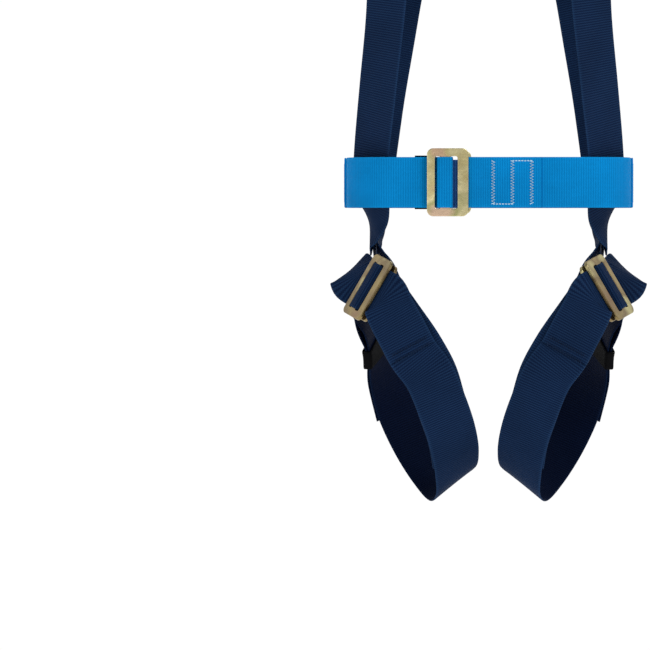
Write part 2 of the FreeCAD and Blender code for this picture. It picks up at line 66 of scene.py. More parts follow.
BELT_BUCKLE_X = -35.3
CHEST_BUCKLE_X = -14.0
CHEST_Y = -106.0
CHEST_Z = 300.0
LEG_BUCKLE = V(99, -66, -95)
LEG_P = V(-0.43, -0.875, -0.21)
LEG_R = V(0.52, 0, -0.855)
LEG_LAP_SHIFT = 3.0
LEG_CENTRE = V(66, -36, -175)     # the middle of the left leg loop
CROSS_Z = 400.0
CROSS_TILT = math.radians(27)
CROSS_LIFT = 3.4
PAD_SLOT_T = 63.0


def unit(v):
    return v * (1.0 / v.length)


def catmull(points, values, k, s):
    """The value at share s of span k on a smooth curve, paced by the distances between the points."""
    last = len(points) - 1
    ids = [max(k - 1, 0), k, k + 1, min(k + 2, last)]
    p = [points[i] for i in ids]
    v = [values[i] for i in ids]
    gap = [max((p[i + 1] - p[i]).length, 1e-6) for i in range(3)]
    if k == 0:
        gap[0] = gap[1]
    if k + 1 == last:
        gap[2] = gap[1]
    before = v[0] if k > 0 else v[1] - (v[2] - v[1])
    after = v[3] if k + 1 < last else v[2] + (v[2] - v[1])
    m1 = ((v[2] - v[1]) * (gap[0] / gap[1]) + (v[1] - before) * (gap[1] / gap[0])) * (1 / (gap[0] + gap[1]))
    m2 = ((after - v[2]) * (gap[1] / gap[2]) + (v[2] - v[1]) * (gap[2] / gap[1])) * (1 / (gap[1] + gap[2]))
    m1, m2 = m1 * gap[1], m2 * gap[1]
    s2, s3 = s * s, s * s * s
    return v[1] * (2 * s3 - 3 * s2 + 1) + m1 * (s3 - 2 * s2 + s) + v[2] * (3 * s2 - 2 * s3) + m2 * (s3 - s2)


def sections(stations, step):
    """Evenly paced (centre, width direction) pairs along the smooth line through the stations."""
    points = [p for p, _ in stations]
    widths = [unit(w) for _, w in stations]
    made = []
    for k in range(len(points) - 1):
        n = max(1, math.ceil((points[k + 1] - points[k]).length / step))
        for i in range(n):
            made.append((catmull(points, points, k, i / n), catmull(points, widths, k, i / n)))
    made.append((points[-1], widths[-1]))
    return made


def flat(points, z=0.0):
    """Stations for webbing that stands on edge, from points seen from above."""
    return [(V(x, y, z), V(0, 0, 1)) for x, y in points]


def arc(centre, radius, start, end, n):
    """n + 1 points on an arc, angles in degrees."""
    turn = [math.radians(start + (end - start) * i / n) for i in range(n + 1)]
    return [(centre[0] + radius * math.cos(a), centre[1] + radius * math.sin(a)) for a in turn]


def shifted(stations, out, along=0.0):
    """The stations moved out of the webbing's plane, and along its width."""
    moved = []
    for i, (p, w) in enumerate(stations):
        ahead = unit(stations[min(i + 1, len(stations) - 1)][0] - stations[max(i - 1, 0)][0])
        across = unit(w - ahead * w.dot(ahead))
        moved.append((p + ahead.cross(across) * out + across * along, w))
    return moved


class Place:
    """A buckle's own frame: p across it, r along its bars, and q outwards from the wearer."""

    def __init__(self, origin, p, r):
        self.origin = origin
        self.p = unit(p)
        self.r = unit(r - self.p * r.dot(self.p))
        self.q = self.p.cross(self.r)

    def at(self, p, q, r=0.0):
        return self.origin + self.p * p + self.q * q + self.r * r

    def stations(self, pairs):
        return [(self.at(p, q), self.r) for p, q in pairs]


# The strap's way over the slider's middle bar, as (p, q): in along q 0, over the bar, and out behind.
OVER_BAR = [
    (-30, 0), (-20, 0), (-13.5, 0), (-11.3, 0.05), (-9.6, 0.9), (-8.75, 2.8), (-8.7, 5.5),
    (-8.65, 8.4), (-8.0, 10.1), (-6.2, 10.75), (-2.2, 10.8), (1.6, 10.75), (3.2, 10.1),
    (3.75, 8.4), (3.8, 5.0), (3.7, 1.4), (3.1, -0.9), (1.2, -2.15), (-2.0, -2.3), (-12, -2.3),
    (-22, -2.3), (-30, -2.3),
]
# The sewn strap's way round the ring's outer bar: in behind it, round, and back in front.
ROUND_RING = [(34, 0), (22, 0), (16, -0.05), (13.8, 0.0), (12.5, 0.9), (12.1, 2.7), (12.5, 4.5), (13.8, 5.4),
              (16, 5.45), (21, 5.3), (26, 3.7), (32, 2.15), (38, LAYER)]


def belt_corners():
    """The belt's outline on the wearer's left: where the rear corner's arc is centred, and its radius."""
    slope = REAR_ARC_X / REAR_R
    radius = (BELT_HALF - REAR_ARC_X) / (1 - slope)
    y = REAR_Y - REAR_R + math.sqrt(REAR_R ** 2 - REAR_ARC_X ** 2)
    centre = (BELT_HALF - radius, y - radius * math.sqrt(1 - slope ** 2))
    return centre, radius


def belt_rear():
    centre, radius = belt_corners()
    sweep = math.degrees(math.asin(REAR_ARC_X / REAR_R))
    left = [(BELT_HALF, SIDE_SEAM_Y), (BELT_HALF, (SIDE_SEAM_Y + centre[1]) / 2)]
    left += arc(centre, radius, 0, 90 - sweep, 7)
    left += arc((0, REAR_Y - REAR_R), REAR_R, 90 - sweep, 90, 5)[1:]
    right = [(-x, y) for x, y in reversed(left[:-1])]
    return flat(left + right)


def front_corner(side):
    """The front pieces' way from the side seam to the front, inside the rear piece."""
    inner = FRONT_CORNER_R - LAYER
    x = BELT_HALF - FRONT_CORNER_R
    y = BELT_FRONT + inner
    way = [(x + inner, SIDE_LAP_Y), (x + inner, (SIDE_LAP_Y + y) / 2)] + arc((x, y), inner, 0, -90, 8)
    return [(side * px, py) for px, py in way]


BELT_PLACE = Place(V(BELT_BUCKLE_X, BELT_FRONT, 0), V(1, 0, 0), V(0, 0, 1))
BELT_LAP_END = 46.0     # the sewn lap's cut end
BELT_TAIL_END = -103.0  # where the loose end stops, inside the belt


def belt_front_loose():
    """The adjustable piece: side seam, front, over the slider's bar and back inside the belt."""
    tail_y = BELT_FRONT + 2.3
    ends = flat([(-72, tail_y), (-80, tail_y), (-90, tail_y + 1.0), (BELT_TAIL_END, tail_y + 6.0)])
    return (flat(front_corner(-1)) + BELT_PLACE.stations(OVER_BAR) + ends)


def belt_front_sewn():
    """The fixed piece: side seam, front, round the ring's bar and back over itself."""
    way = flat(front_corner(1)) + BELT_PLACE.stations(ROUND_RING)
    return (way + flat([(20, BELT_FRONT - LAYER), (BELT_LAP_END, BELT_FRONT - LAYER)]))


def cross(t, y, k):
    """A station near the crossing, t along the strap that runs over shoulder k (1 left, -1 right)."""
    along = V(k * math.sin(CROSS_TILT), 0, math.cos(CROSS_TILT))
    return (V(0, y, CROSS_Z) + along * t, V(math.cos(CROSS_TILT), 0, -k * math.sin(CROSS_TILT)))


# From the left hip up the front and over the shoulder.
FRONT_WAY = [
    (V(103.5, -21.0, -61), V(0, 1, 0)),
    (V(103.6, -22.5, -52), V(0, 1, 0)),
    (V(103.9, -29.0, -43), V(0, 1, 0)),
    (V(103.8, -40.0, -33), V(0.30, 0.95, 0)),
    (V(103.2, -54.0, -19), V(0.68, 0.73, 0)),
    (V(103.6, -62.6, -1), V(0.72, 0.69, 0)),
    (V(102.2, -65.6, 24), V(0.71, 0.70, 0)),
    (V(96.5, -77.0, 80), V(0.74, 0.67, 0)),
    (V(88.5, -88.0, 160), V(0.79, 0.61, 0)),
    (V(86.3, -96.5, 230), V(0.90, 0.43, 0)),
    (V(86.0, -99.6, 272), V(0.95, 0.31, 0)),
    (V(86.0, -100, 300), V(0.95, 0.31, 0)),
    (V(85.8, -99.6, 328), V(0.95, 0.31, 0)),
    (V(84.5, -97, 385), V(0.97, 0.24, 0)),
    (V(82.0, -86, 440), V(0.98, 0.16, 0.03)),
    (V(80.0, -62, 488), V(0.99, 0.10, 0.04)),
    (V(78.0, -25, 514), V(0.99, 0.04, -0.05)),
    (V(73.0, 18, 519), V(0.97, -0.06, -0.18)),
    (V(63.0, 55, 506), V(0.93, -0.20, -0.30)),
    (V(50.0, 78, 487), V(0.90, -0.20, -0.40)),
]

# From the crossing down the back to the left hip.
REAR_WAY = [
    (V(49.0, 91.5, 303), V(0.94, -0.16, 0.30)),
    (V(66.0, 88.5, 245), V(0.95, -0.22, 0.20)),
    (V(78.0, 83.5, 190), V(0.95, -0.28, 0.12)),
    (V(88.0, 73.0, 130), V(0.93, -0.36, 0.06)),
    (V(96.5, 60.0, 70), V(0.86, -0.50, 0.03)),
    (V(100.5, 49.5, 24), V(0.77, -0.64, 0)),
    (V(102.0, 47.0, 0), V(0.74, -0.67, 0)),
    (V(104.5, 37.0, -20), V(0.55, -0.80, 0.22)),
    (V(103.0, 18.0, -35), V(0.22, -0.93, 0.30)),
    (V(100.9, -1.0, -45), V(0.02, -0.94, 0.32)),
    (V(101.0, -15.0, -55), V(0, -0.98, 0.14)),
    (V(101.0, -18.0, -64), V(0, -1, 0.05)),
]

# The strap's height above the pad near the crossing.
CROSSING = [(84, 88.5), (74, 92.3), (PAD_SLOT_T, 100.0), (53, 107.0), (42, 110.6), (28, 112.6), (14, 113.0)]


def on_side(stations, k):
    """Stations drawn for the left side, for side k, still running the same way across their width."""
    return [(V(k * p.x, p.y, p.z), V(w.x, k * w.y, k * w.z)) for p, w in stations]


def shoulder_strap(k):
    """One strap: from the hip up the front, over shoulder k, through the pad and down to the other hip."""
    lift = CROSS_LIFT if k > 0 else 0.0
    upper = [cross(t, y + (lift if t < PAD_SLOT_T else 0), k) for t, y in CROSSING]
    lower = [cross(-t, y + (lift if t < PAD_SLOT_T else 0), k) for t, y in reversed(CROSSING)]
    way = on_side(FRONT_WAY, k) + upper + lower + on_side(REAR_WAY, -k)
    return way


CHEST_PLACE = Place(V(CHEST_BUCKLE_X, CHEST_Y, CHEST_Z), V(1, 0, 0), V(0, 0, 1))
# the chest strap passes over the shoulder strap here
CHEST_END = [(106.0, -97.0), (87.0, -103.1), (70.0, -108.6), (62.0, -109.2), (53.0, -106.9)]


def chest_loose():
    """The adjustable half: from the right shoulder strap over the slider's bar and back inside itself."""
    way = flat([(-x, y) for x, y in CHEST_END], CHEST_Z) + CHEST_PLACE.stations(OVER_BAR)
    return (way + flat([(-52, CHEST_Y + 2.4), (-60, CHEST_Y + 2.9)], CHEST_Z))


def chest_sewn():
    """The fixed half: from the left shoulder strap round the ring's bar and back over itself."""
    way = flat(CHEST_END, CHEST_Z) + CHEST_PLACE.stations(ROUND_RING)
    return (way + flat([(36, CHEST_Y - LAYER)], CHEST_Z))


LEG_PLACE = Place(LEG_BUCKLE, LEG_P, LEG_R)

# The front of the left loop, from the ring down to the crotch.
LEG_FRONT = [
    (V(82.0, -95.0, -110), V(0.60, -0.02, -0.80)),
    (V(73.0, -100.5, -127), V(0.72, -0.02, -0.69)),
    (V(63.0, -101.5, -146), V(0.80, -0.02, -0.60)),
    (V(52.0, -100.0, -166), V(0.84, -0.02, -0.54)),
    (V(40.0, -92.0, -194), V(0.87, -0.05, -0.49)),
    (V(31.5, -79.0, -220), V(0.86, -0.10, -0.50)),
    (V(27.5, -62.5, -244), V(0.82, -0.12, -0.56)),
    (V(28.5, -43.0, -261), V(0.78, -0.15, -0.60)),
]

# The rear of the left loop, from the crotch up to the slider.
LEG_REAR = [
    (V(35.0, -21.0, -267.5), V(0.76, -0.20, -0.60)),
    (V(47.5, 2.0, -257), V(0.79, -0.30, -0.50)),
    (V(65.0, 20.0, -234), V(0.85, -0.42, -0.30)),
    (V(81.0, 27.0, -204), V(0.80, -0.56, -0.20)),
    (V(92.5, 22.0, -172), V(0.60, -0.77, -0.20)),
    (V(99.5, 8.0, -142), V(0.32, -0.92, -0.22)),
    (V(104.5, -6.0, -120), V(0.30, -0.88, -0.36)),
]
LEG_RISE = [
    (V(109.5, -20.0, -106), V(0.38, -0.70, -0.60)),
    (V(111.3, -32.0, -96), V(0.46, -0.38, -0.80)),
]
LAP_STATIONS = 3        # how many front stations the sewn lap covers
TAIL_WAY = [(6, 6.0), (5, 2.8), (4, 2.8), (3, 4.0)]     # rear stations under the loose end, and how far out


def leg_strap():
    """The left leg strap: sewn lap, ring, front, crotch, rear, over the slider's bar, and the loose end."""
    front = LEG_FRONT[:LAP_STATIONS + 1]
    lap = shifted(front, LAYER, LEG_LAP_SHIFT)[:LAP_STATIONS]
    ring_way = LEG_PLACE.stations([(p, q) for p, q in reversed(ROUND_RING) if p < 28])
    bar_way = LEG_PLACE.stations([(p, q) for p, q in reversed(OVER_BAR) if p > -25])
    loop = shifted(front, 0, LEG_LAP_SHIFT)[:LAP_STATIONS] + LEG_FRONT[LAP_STATIONS:] + LEG_REAR + LEG_RISE
    fold = [
        (LEG_PLACE.at(-27, 0.9), LEG_PLACE.r),
        (LEG_PLACE.at(-35, 5.0), V(0.54, -0.20, -0.80)),
        (V(120.5, -28.5, -78.5), V(0.60, -0.46, -0.62)),
        (V(121.8, -22.5, -77.5), V(0.62, -0.52, -0.55)),
        (V(121.0, -17.0, -81.0), V(0.60, -0.58, -0.50)),
        (V(117.0, -11.5, -93.0), V(0.50, -0.74, -0.42)),
        (V(111.8, -7.0, -107.0), V(0.38, -0.84, -0.38)),
    ]
    tail = [shifted(LEG_REAR, out)[i] for i, out in TAIL_WAY]
    way = list(reversed(lap)) + ring_way + loop + bar_way + fold + tail
    return way


def thigh_strap():
    """The inner strap of the left loop: from the hip joint, behind the buckle, to the crotch."""
    top = [
        (V(98.2, -20.5, -45), V(0, 1, 0)),
        (V(98.0, -22.0, -57), V(0.02, 1, -0.12)),
        (V(94.3, -31.0, -74), V(0.12, 0.80, -0.60)),
        (V(90.0, -47.0, -89), V(0.34, 0.45, -0.83)),
        (V(87.0, -69.0, -104), V(0.52, 0.05, -0.85)),
        (V(80.0, -86.5, -116), V(0.64, 0, -0.76)),
    ]
    upper = shifted(LEG_FRONT, -LAYER, -LEG_LAP_SHIFT)[2:4]
    return (top + upper + shifted(LEG_FRONT, -LAYER - 0.4)[4:-1])


# ---------------------------------------------------------------- materials
class Nodes:
    """Short names for building a node material."""

    def __init__(self, name):
        self.mat = bpy.data.materials.new(name)
        self.mat.use_nodes = True
        self.tree = self.mat.node_tree
        self.bsdf = self.tree.nodes["Principled BSDF"]

    def add(self, kind, **values):
        node = self.tree.nodes.new(kind)
        for key, value in values.items():
            setattr(node, key, value)
        return node

    def put(self, socket, value):
        if isinstance(value, (int, float, tuple)):
            socket.default_value = value
        else:
            self.tree.links.new(value, socket)

    def math(self, op, a, b=0.0, c=0.0):
        node = self.add("ShaderNodeMath", operation=op)
        for socket, value in zip(node.inputs, (a, b, c)):
            self.put(socket, value)
        return node.outputs[0]

    def noise(self, scale, detail=3.0, vector=None, rough=0.55):
        node = self.add("ShaderNodeTexNoise")
        node.inputs["Scale"].default_value = scale
        node.inputs["Detail"].default_value = detail
        node.inputs["Roughness"].default_value = rough
        if vector is not None:
            self.put(node.inputs["Vector"], vector)
        return node.outputs["Fac"]

    def ramp(self, fac, stops):
        node = self.add("ShaderNodeValToRGB")
        while len(node.color_ramp.elements) < len(stops):
            node.color_ramp.elements.new(0.5)
        for element, (at, colour) in zip(node.color_ramp.elements, stops):
            element.position = at
            element.color = (*colour, 1)
        self.put(node.inputs["Fac"], fac)
        return node.outputs["Color"]

    def tint(self, colour, fac):
        """The colour multiplied by a grey value."""
        node = self.add("ShaderNodeVectorMath", operation="SCALE")
        self.put(node.inputs[0], colour)
        self.put(node.inputs["Scale"], fac)
        return node.outputs[0]

    def bump(self, height, distance, strength=1.0, normal=None):
        node = self.add("ShaderNodeBump")
        node.inputs["Distance"].default_value = distance
        node.inputs["Strength"].default_value = strength
        self.put(node.inputs["Height"], height)
        if normal is not None:
            self.put(node.inputs["Normal"], normal)
        return node.outputs["Normal"]

    def finish(self, colour, rough, normal=None, **inputs):
        self.put(self.bsdf.inputs["Base Color"], colour)
        self.put(self.bsdf.inputs["Roughness"], rough)
        if normal is not None:
            self.put(self.bsdf.inputs["Normal"], normal)
        for key, value in inputs.items():
            self.put(self.bsdf.inputs[key.replace("_", " ")], value)
        return self.mat

    def object_point(self):
        return self.add("ShaderNodeTexCoord").outputs["Object"]


RIB = 0.0021            # one cross rib of the webbing
YARN = 0.0011           # one lengthwise yarn


def webbing(name, painted_shade_groove, face, painted_highlight_crest):
    """Woven polyester: ribs across the strap, yarns along it, fine fibre, and a firm woven edge."""
    n = Nodes(name)
    uv = n.add("ShaderNodeSeparateXYZ")
    n.put(uv.inputs[0], n.add("ShaderNodeTexCoord").outputs["UV"])
    u, v = uv.outputs["X"], uv.outputs["Y"]
    point = n.object_point()
    wander = n.math("MULTIPLY", n.math("SUBTRACT", n.noise(260, 2, point), 0.5), 0.9)
    column = n.math("FLOOR", n.math("DIVIDE", v, YARN))
    stagger = n.math("MULTIPLY", n.math("MODULO", column, 2.0), 0.9)
    turn = n.math("ADD", n.math("MULTIPLY", u, 2 * math.pi / RIB), n.math("ADD", stagger, wander))
    rib = n.math("MULTIPLY_ADD", n.math("SINE", turn), 0.5, 0.5)
    yarn = n.math("ABSOLUTE", n.math("SINE", n.math("MULTIPLY", v, math.pi / YARN)))
    fibre = n.noise(5200, 2, point)
    height = n.math("ADD", n.math("MULTIPLY", rib, 0.52), n.math("MULTIPLY", yarn, 0.34))
    height = n.math("ADD", height, n.math("MULTIPLY", fibre, 0.22))
    from_middle = n.math("ABSOLUTE", n.math("SUBTRACT", v, WEB_W * MM / 2))
    edge = n.math("SMOOTH_MAX", n.math("MULTIPLY", n.math("SUBTRACT", from_middle, 0.0195), 260.0), 0.0, 0.1)
    height = n.math("ADD", height, n.math("MULTIPLY", edge, 0.5))
    # The heights pick the colour: the low places between ribs and yarns get a darker colour as painted shade,
    # and the high places and the raised edge a lighter colour as a painted highlight.
    cloth = n.ramp(height, [(0.12, painted_shade_groove), (0.52, face), (0.98, painted_highlight_crest)])
    wear = n.math("MULTIPLY_ADD", n.noise(16, 4, point), 0.7, 0.65)
    streak = n.math("MULTIPLY_ADD", n.noise(900, 1, point), 0.24, 0.88)
    colour = n.tint(n.tint(cloth, wear), streak)
    soft = n.bump(n.noise(45, 2, point), 0.0022, 0.55)
    normal = n.bump(height, 0.00026, 0.8, soft)
    rough = n.math("MULTIPLY_ADD", fibre, 0.16, 0.56)
    return n.finish(colour, rough, normal, Specular_IOR_Level=0.03)


def plated(name, stops, rough=0.3):
    """Yellow zinc plate over stamped steel: tints that drift from place to place, and fine handling marks."""
    n = Nodes(name)
    point = n.object_point()
    colour = n.ramp(n.noise(34, 2, point, 0.5), stops)
    colour = n.tint(colour, n.math("MULTIPLY_ADD", n.noise(24, 2, point), 0.9, 0.55))
    marks = n.noise(1400, 3, point)
    colour = n.tint(colour, n.math("MULTIPLY_ADD", marks, 0.14, 0.93))
    normal = n.bump(marks, 0.00003, 0.6, n.bump(n.noise(110, 2, point), 0.0006, 0.55))
    rough_map = n.math("MULTIPLY_ADD", n.noise(210, 3, point), 0.22, rough - 0.1)
    return n.finish(colour, rough_map, normal, Metallic=0.92)


def elastic(name):
    """Black knitted elastic with a fine, even grain."""
    n = Nodes(name)
    point = n.object_point()
    grain = n.noise(1500, 3, point)
    colour = n.ramp(grain, [(0.2, (0.001, 0.001, 0.0015)), (0.8, (0.005, 0.005, 0.006))])
    normal = n.bump(grain, 0.0003, 0.8)
    return n.finish(colour, n.math("MULTIPLY_ADD", grain, 0.2, 0.6), normal, Specular_IOR_Level=0.04)


def moulded(name):
    """Black moulded plastic with a fine spark-eroded grain."""
    n = Nodes(name)
    point = n.object_point()
    grain = n.noise(1900, 2, point)
    colour = n.ramp(n.noise(60, 3, point), [(0.25, (0.009, 0.009, 0.011)), (0.8, (0.022, 0.022, 0.026))])
    return n.finish(colour, n.math("MULTIPLY_ADD", grain, 0.22, 0.38), n.bump(grain, 0.00016, 0.6))


def thread(name, dark, light):
    """Twisted sewing thread."""
    n = Nodes(name)
    point = n.object_point()
    twist = n.noise(2600, 1, point)
    colour = n.ramp(twist, [(0.3, dark), (0.7, light)])
    return n.finish(colour, 0.6, n.bump(twist, 0.0002, 0.8), Specular_IOR_Level=0.15)


# Each webbing is given three colours: a darker one as painted shade low in the weave, its own colour, and a
# lighter one as a painted highlight on the ribs.
NAVY = webbing("navy_webbing", (0.0022, 0.0064, 0.026), (0.0046, 0.0150, 0.050), (0.0125, 0.037, 0.096))
# A darker copy of the navy webbing for the faces that look in towards the middle of each leg loop: painted
# shade, the same webbing as on the outside.
NAVY_PAINTED_SHADE = webbing("navy_webbing_painted_shade",
                    (0.0006, 0.0016, 0.009), (0.0012, 0.0036, 0.017), (0.0036, 0.0100, 0.034))
BLUE = webbing("belt_webbing_outside", (0.0005, 0.155, 0.43), (0.001, 0.22, 0.58), (0.003, 0.28, 0.68))
# The belt webbing's darker inside, for the faces that look in towards the wearer's middle: partly the
# webbing's own darker inner face, partly painted shade.
BLUE_INSIDE_AND_SHADE = webbing("belt_webbing_inside_and_painted_shade", (0.004, 0.024, 0.10), (0.013, 0.062, 0.215), (0.03, 0.11, 0.31))
ZINC = plated("yellow_zinc", [
    (0.30, (0.68, 0.47, 0.30)), (0.42, (0.66, 0.56, 0.27)), (0.52, (0.80, 0.71, 0.40)),
    (0.60, (0.46, 0.44, 0.19)), (0.72, (0.70, 0.50, 0.35))], 0.26)
# A darker, browner copy of the yellow zinc for the leg sliders and rings: painted shade, the same plating as
# on the other buckles.
LEG_ZINC_SHADED = plated("yellow_zinc_painted_shade", [
    (0.30, (0.25, 0.16, 0.085)), (0.44, (0.31, 0.235, 0.10)), (0.56, (0.21, 0.15, 0.075)),
    (0.70, (0.50, 0.45, 0.22))], 0.30)
STEEL = plated("forged_ring_plate", [
    (0.3, (0.48, 0.37, 0.18)), (0.5, (0.64, 0.53, 0.27)), (0.7, (0.42, 0.36, 0.19))], 0.30)
ELASTIC = elastic("black_elastic")
PAD = moulded("black_moulded_plastic")
PALE_THREAD = thread("pale_blue_thread", (0.30, 0.56, 0.78), (0.66, 0.86, 0.96))
NAVY_THREAD = thread("navy_thread", (0.004, 0.011, 0.04), (0.014, 0.036, 0.10))


# ---------------------------------------------------------------- webbing meshes
FACE_ROWS = 12          # mesh rows across each face of a strap


def section():
    """A strap's cross-section: (share of half the width, share of half the thickness) all the way round."""
    across = [1 - 0.07 - 1.86 * i / FACE_ROWS for i in range(FACE_ROWS + 1)]
    top = [(a, 1.0) for a in across]
    rim = [(0.975, 0.82), (0.995, 0.42), (1.0, 0.0), (0.995, -0.42), (0.975, -0.82)]
    return top + [(-a, b) for a, b in rim] + [(a, -1.0) for a, _ in reversed(top)] + [(a, -b) for a, b in rim]


def strap(name, stations, face, back=None, around=V(0, 0, 0), step=2.4):
    """A woven strap as a closed mesh, with its length and width in metres as UVs.

    With a back material, the faces that look in towards the point around get it."""
    line = sections(stations, step)
    ring = section()
    count = len(ring)
    bm = bmesh.new()
    uv = bm.loops.layers.uv.new("UVMap")
    rows, lengths = [], [0.0]
    for i, (centre, w) in enumerate(line):
        ahead = unit(line[min(i + 1, len(line) - 1)][0] - line[max(i - 1, 0)][0])
        across = unit(w - ahead * w.dot(ahead))
        out = ahead.cross(across)
        if i:
            lengths.append(lengths[-1] + (centre - line[i - 1][0]).length)
        half_width, half_thick = across * (WEB_W / 2), out * (WEB_T / 2)
        rows.append([bm.verts.new((centre + half_width * a + half_thick * b) * MM) for a, b in ring])
    for i in range(len(rows) - 1):
        for j in range(count):
            k = (j + 1) % count
            quad = bm.faces.new((rows[i][j], rows[i + 1][j], rows[i + 1][k], rows[i][k]))
            quad.smooth = True
            for loop, (r, c) in zip(quad.loops, ((i, j), (i + 1, j), (i + 1, k), (i, k))):
                loop[uv].uv = (lengths[r] * MM, (ring[c][0] + 1) * WEB_W / 2 * MM)
    bm.faces.new(rows[0])
    bm.faces.new(list(reversed(rows[-1])))
    bmesh.ops.recalc_face_normals(bm, faces=bm.faces)
    if back:
        for quad in bm.faces:
            middle = quad.calc_center_median()
            quad.material_index = 1 if quad.normal.dot(around * MM - middle) > 0 else 0
    mesh = bpy.data.meshes.new(name)
    bm.to_mesh(mesh)
    bm.free()
    mesh.materials.append(face)
    mesh.materials.append(back or face)
    piece = bpy.data.objects.new(name, mesh)
    bpy.context.scene.collection.objects.link(piece)
    return piece, lengths[-1] * MM


def wear(name, nodes, stations, slot, face, held="stretched", **looks):
    """Makes a strap in place of its CAD solids."""
    piece, length = strap(name, stations, face, **looks)
    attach(piece, "webbing")
    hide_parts(*nodes)
    return piece


def mirrored(stations):
    return [(V(-p.x, p.y, p.z), V(-w.x, w.y, w.z)) for p, w in stations]


# The belt's faces that look in towards the wearer's middle get the darker inside colour, partly painted
# shade.
wear("web_belt_rear", ["belt_rear_strap"], belt_rear(), "belt_webbing", BLUE, back=BLUE_INSIDE_AND_SHADE)
wear("web_belt_loose", ["belt_loose_strap"], belt_front_loose(), "belt_webbing", BLUE,
     back=BLUE_INSIDE_AND_SHADE, step=1.5)
wear("web_belt_sewn", ["belt_sewn_strap"], belt_front_sewn(), "belt_webbing", BLUE, back=BLUE_INSIDE_AND_SHADE, step=1.5)
SHOULDER_NODES = ("hip_front", "shoulder_front", "shoulder_top",
                  "shoulder_crossing", "shoulder_rear", "hip_rear")
LEG_NODES = ("leg_front", "leg_crotch", "leg_rear", "leg_turn", "leg_tail")
for side, k in (("left", 1), ("right", -1)):
    nodes = [name + "_" + side for name in SHOULDER_NODES]
    wear("web_shoulder_" + side, nodes, shoulder_strap(k), "navy_webbing", NAVY)
wear("web_chest_loose", ["chest_loose_strap"], chest_loose(), "navy_webbing", NAVY, step=1.5)
wear("web_chest_sewn", ["chest_sewn_strap"], chest_sewn(), "navy_webbing", NAVY, step=1.5)
for side, turned, k in (("left", list, 1), ("right", mirrored, -1)):
    nodes = [name + "_" + side for name in LEG_NODES]
    # The faces of the leg and thigh straps that look in towards the middle of the loop get the darker navy,
    # painted shade.
    thigh = V(k * LEG_CENTRE.x, LEG_CENTRE.y, LEG_CENTRE.z)
    wear("web_leg_" + side, nodes, turned(leg_strap()), "navy_webbing", NAVY,
         held="hung", back=NAVY_PAINTED_SHADE, around=thigh, step=1.8)
    wear("web_thigh_" + side, ["thigh_strap_" + side], turned(thigh_strap()), "navy_webbing", NAVY,
         held="hung", back=NAVY_PAINTED_SHADE, around=thigh)


# ---------------------------------------------------------------- sewn thread
def stitched(name, paths, nodes, material, radius=0.3):
    """Sewn thread along the paths, as one piece of fine tubes."""
    curve = bpy.data.curves.new(name, "CURVE")
    curve.dimensions = "3D"
    curve.bevel_depth = radius * MM
    curve.bevel_resolution = 2
    curve.use_fill_caps = True
    for path in paths:
        spline = curve.splines.new("POLY")
        spline.points.add(len(path) - 1)
        for point, at in zip(spline.points, path):
            point.co = (*(at * MM), 1)
    curve.materials.append(material)
    source = bpy.data.objects.new(name + "_source", curve)
    bpy.context.scene.collection.objects.link(source)
    bpy.context.view_layer.update()
    mesh = bpy.data.meshes.new_from_object(source.evaluated_get(bpy.context.evaluated_depsgraph_get()))
    bpy.data.objects.remove(source)
    for polygon in mesh.polygons:
        polygon.use_smooth = True
    piece = bpy.data.objects.new(name, mesh)
    bpy.context.scene.collection.objects.link(piece)
    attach(piece, "webbing")
    if nodes:
        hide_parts(*nodes)
    return piece


def zigzag(place, p, q, height=33.0, width=2.9, pitch=1.25):
    """A bar tack: a close zigzag up the strap."""
    n = int(height / pitch)
    return [place.at(p + width / 2 * (1 if i % 2 else -1), q, -height / 2 + i * pitch) for i in range(n + 1)]


def dashes(place, start, end, q, long=2.3, gap=1.3):
    """Separate stitches from start to end, each (p, r)."""
    a, b = V(*start, 0), V(*end, 0)
    n = int((b - a).length / (long + gap))
    step = unit(b - a)
    made = []
    for i in range(n + 1):
        s = a + step * (i * (long + gap))
        e = s + step * long
        m = (s + e) / 2
        made.append([place.at(s.x, q - 0.2, s.y), place.at(m.x, q + 0.1, m.y), place.at(e.x, q - 0.2, e.y)])
    return made


LAP_TOP = LAYER + WEB_T / 2 + 0.12
belt_rows = (39.3, 56.0, 72.7)
paths = [zigzag(BELT_PLACE, p, LAP_TOP, 37.5) for p in belt_rows]
paths += dashes(BELT_PLACE, (belt_rows[0], -18.75), (belt_rows[1], -18.75), LAP_TOP, 1.5, 1.1)
paths += dashes(BELT_PLACE, (belt_rows[1], 18.75), (belt_rows[2], 18.75), LAP_TOP, 1.5, 1.1)
paths += [row for p in (33.0, 43.5, 52.0, 61.0, 69.0, 76.0)
          for row in dashes(BELT_PLACE, (p, -18), (p, 18), -WEB_T / 2 - 0.1, 2.6, 0.9)]
stitched("thread_belt_tacks", paths, ["belt_stitching"], PALE_THREAD, 0.5)

paths = [zigzag(CHEST_PLACE, p, LAP_TOP, 35.0) for p in (34.0, 42.0)]
stitched("thread_chest_tacks", paths, ["chest_stitching"], NAVY_THREAD)


def on_strap(stations, i, out):
    """A frame on a strap at station i, moved out from it."""
    centre, w = stations[i]
    ahead = stations[min(i + 1, len(stations) - 1)][0] - stations[max(i - 1, 0)][0]
    place = Place(centre, ahead, w)
    return Place(centre + place.q * out, place.p, place.r)


